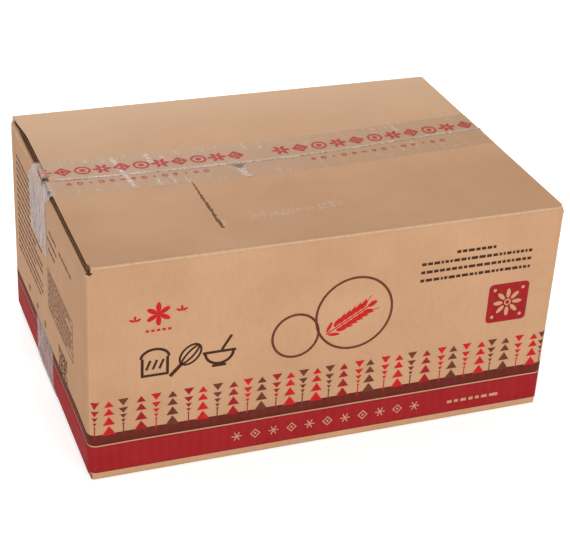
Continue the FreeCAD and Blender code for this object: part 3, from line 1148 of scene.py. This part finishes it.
tapeMarks = {
    "big": 9.5,  # how far behind the tape's middle the big row runs
    "small": -12.5,
    "groups": ((-187, 15.75, -171, -61), (9.5, 16.9, 30, 147)),  # first, pitch, small row from and to
    "cell": 3 * mm,
    "lift": 0.07 * mm,
    "thickness": 0.05 * mm,
}


def drawTapeMark(kind, x, y):
    if kind == 0:
        drawPetals(x, y, range(0, 360, 60), 4.5, 3.3, 0.46, 8)
    elif kind == 1:
        drawRing(x, y, 7.1, 1.7, sides=4)
        drawBar(x, y, 7.4, 1.5)
        drawBar(x, y, 1.5, 7.4)
    else:
        drawRing(x, y, 6.6, 1.7, sides=20)
        drawDisc(x, y, 2.4, sides=10)


def drawTapeMarks():
    for first, pitch, smallFrom, smallTo in tapeMarks["groups"]:
        for number in range(11):
            drawTapeMark(number % 3, first + pitch * number, tapeMarks["big"])
        for number in range(14):
            x = smallFrom + (smallTo - smallFrom) * number / 13
            if number == 5:
                drawBar(x, tapeMarks["small"], 5, 1.1)
            elif number % 3 == 2:
                drawDisc(x, tapeMarks["small"], 1.0, sides=8)
            else:
                drawRing(x, tapeMarks["small"], 2.3, 0.8, sides=(4, 12)[number % 2])


def layFlat(piece, target, lift, thickness, finish):  # onto the top
    cutInCells(piece, printSettings["topCell"])
    piece.location.z = height
    wrapPrint(piece, target, lift, thickness, finish)


marks = drawFlat("tapeMarks", drawTapeMarks)
cutInCells(marks, tapeMarks["cell"])
for vertex in marks.data.vertices:
    vertex.co.y += tapeCentre(topTape, vertex.co.x)
layFlat(marks, tapeTop, tapeMarks["lift"], tapeMarks["thickness"], "tapeInk")
print("film printed")

# rubbed and torn places on the top, and painted shade at the tear, the corner hole and the seam
wornAndShadedPlaces = {
    "tear": (-78, -24, -98),  # x, from and to
    "scuff": (-54, -87, 23, -81.5, 8),  # from x, y to x, y and how wide
    "corner": (-183, -134),
    "hollow": (-33, 3, -6.5, 13),  # painted shade of a gap in the seam under the film: x, base, tip and width
    "seed": 3,
}


def scatterDiscs(dice, count, sides, x, y, *ranges):  # ranges of place, radius, squash and turn
    for number in range(count):
        right, up, radius, squash, turn = (dice.uniform(*ends) for ends in ranges)
        drawDisc(x + right, y + up, radius, squash, turn, sides)


# dark discs: raw torn edges along the tear, and painted shade that widens the corner hole
def drawTornEdgesAndShade():
    dice = random.Random(wornAndShadedPlaces["seed"])
    x, start, stop = wornAndShadedPlaces["tear"]
    for number in range(38):
        share = number / 37
        y = start + (stop - start) * share
        wide = (0.9 + 1.1 * share) * dice.uniform(0.6, 1.4)
        drawDisc(x + dice.uniform(-0.5, 0.5), y, 1.6, wide / 2, dice.uniform(60, 120), sides=6)
    # painted shade: dark discs that fill the neck of the corner hole
    x, y = wornAndShadedPlaces["corner"]
    scatterDiscs(dice, 9, 6, x - 3.6, y, (-0.8, 0.6), (-2.6, 1.0), (0.5, 0.9), (0.5, 0.9), (0, 180))


def drawFlecks():
    dice = random.Random(wornAndShadedPlaces["seed"] + 1)
    fromX, fromY, toX, toY, wide = wornAndShadedPlaces["scuff"]
    for number in range(340):
        share = dice.random()
        x = fromX + (toX - fromX) * share
        y = fromY + (toY - fromY) * share + dice.gauss(0, wide / 2.6)
        drawDisc(x, y, dice.uniform(0.35, 0.95), dice.uniform(0.3, 0.8), dice.uniform(0, 180), sides=5)
    x, start, stop = wornAndShadedPlaces["tear"]
    scatterDiscs(dice, 16, 6, x, stop, (1.6, 3.4), (1, 11), (0.5, 1.1), (0.25, 0.6), (30, 150))
    x, y = wornAndShadedPlaces["corner"]
    scatterDiscs(dice, 22, 5, x, y, (-2.4, 2.4), (-3, 1.6), (0.6, 1.5), (0.2, 0.45), (-60, 80))


for name, draw, lift, thickness, finish in (
        ("tearLips", drawTornEdgesAndShade, 0.06 * mm, 0.1 * mm, "rawEdgeAndPaintedShade"),
        ("seamHollow", lambda: drawTriangle(*wornAndShadedPlaces["hollow"]), 0.05 * mm, 0.08 * mm, "hollowShade"),
        ("paleFlecks", drawFlecks, 0.10 * mm, 0.14 * mm, "tornLiner")):
    layFlat(drawFlat(name, draw), cartonBoard, lift, thickness, finish)
print("worn places marked")

stageSettings = {
    "cameraPlace": (-0.39795, -1.03191, 0.71061),
    "turns": (("Z", -21.672), ("X", 60.181), ("Z", 3.293)),  # heading, tilt from straight down, roll
    "lens": 96.00,
    "sensor": 36,
    "floorTone": (0.80, 0.80, 0.80),
    "floorLift": 0.60,
    "worldLevel": 0.30,
    "lamps": (  # name, place, aim, size and power
        ("overhead", (0, 0.75, 0.70), (0, 0, 0.15), 0.7, 6.0),
        ("front", (0.18, -1.5, 0.42), (0, 0, 0.08), 1.0, 12.9),
        ("leftFill", (-1.5, -0.45, 0.6), (-0.1, 0, 0.1), 0.9, 7.0),
        ("rightFill", (1.5, 0.2, 0.5), (0.1, 0, 0.1), 0.9, 5.0),
    ),
}


def seenPath(owner):  # 1 for what the camera sees, through the film and in its gloss too
    path = node(owner, "LightPath")
    return mathNode(owner, "ADD", path["Is Camera Ray"],
                    plus(owner, path["Is Glossy Ray"], path["Is Transmission Ray"]), clamp=True)


def makeFloor():
    bpy.ops.mesh.primitive_plane_add(size=12, location=(0, 0, -0.05 * mm))
    floor = bpy.context.object
    floor.name = "floor"
    look = newMaterial("paleFloor")
    plain = node(look, "BsdfDiffuse", in_Color=stageSettings["floorTone"])[0]
    lift = node(look, "Emission", in_Color=(1, 1, 1),
                in_Strength=times(look, seenPath(look), stageSettings["floorLift"]))[0]
    both = node(look, "AddShader", in_0=plain, in_1=lift)[0]
    floor.data.materials.append(finishMaterial(look, both))


def makeWorld():
    world = bpy.data.worlds.new("studio")
    bpy.context.scene.world = world
    world.use_nodes = True
    world.node_tree.nodes.clear()
    plain, white = (node(world, "Background", in_0=(1, 1, 1), in_1=level)[0]
                    for level in (stageSettings["worldLevel"], 1.0))
    both = node(world, "MixShader", in_0=seenPath(world), in_1=plain, in_2=white)[0]
    node(world, "OutputWorld", in_0=both)


def makeLamps():
    for name, place, aim, width, power in stageSettings["lamps"]:
        bpy.ops.object.light_add(type="AREA", location=place)
        lamp = bpy.context.object
        lamp.name = name
        lamp.rotation_euler = (Vector(aim) - Vector(place)).to_track_quat("-Z", "Y").to_euler()
        lamp.data.size = width
        lamp.data.energy = power


def makeCamera():
    turned = Matrix.Identity(3)
    for axis, angle in stageSettings["turns"]:
        turned = turned @ Matrix.Rotation(math.radians(angle), 3, axis)
    bpy.ops.object.camera_add(location=stageSettings["cameraPlace"], rotation=turned.to_euler())
    camera = bpy.context.object
    camera.data.sensor_width = stageSettings["sensor"]
    camera.data.lens = stageSettings["lens"]
    bpy.context.scene.camera = camera


makeFloor()
makeWorld()
makeLamps()
makeCamera()
bpy.context.scene.view_settings.view_transform = "Standard"
print("stage, light and camera set")
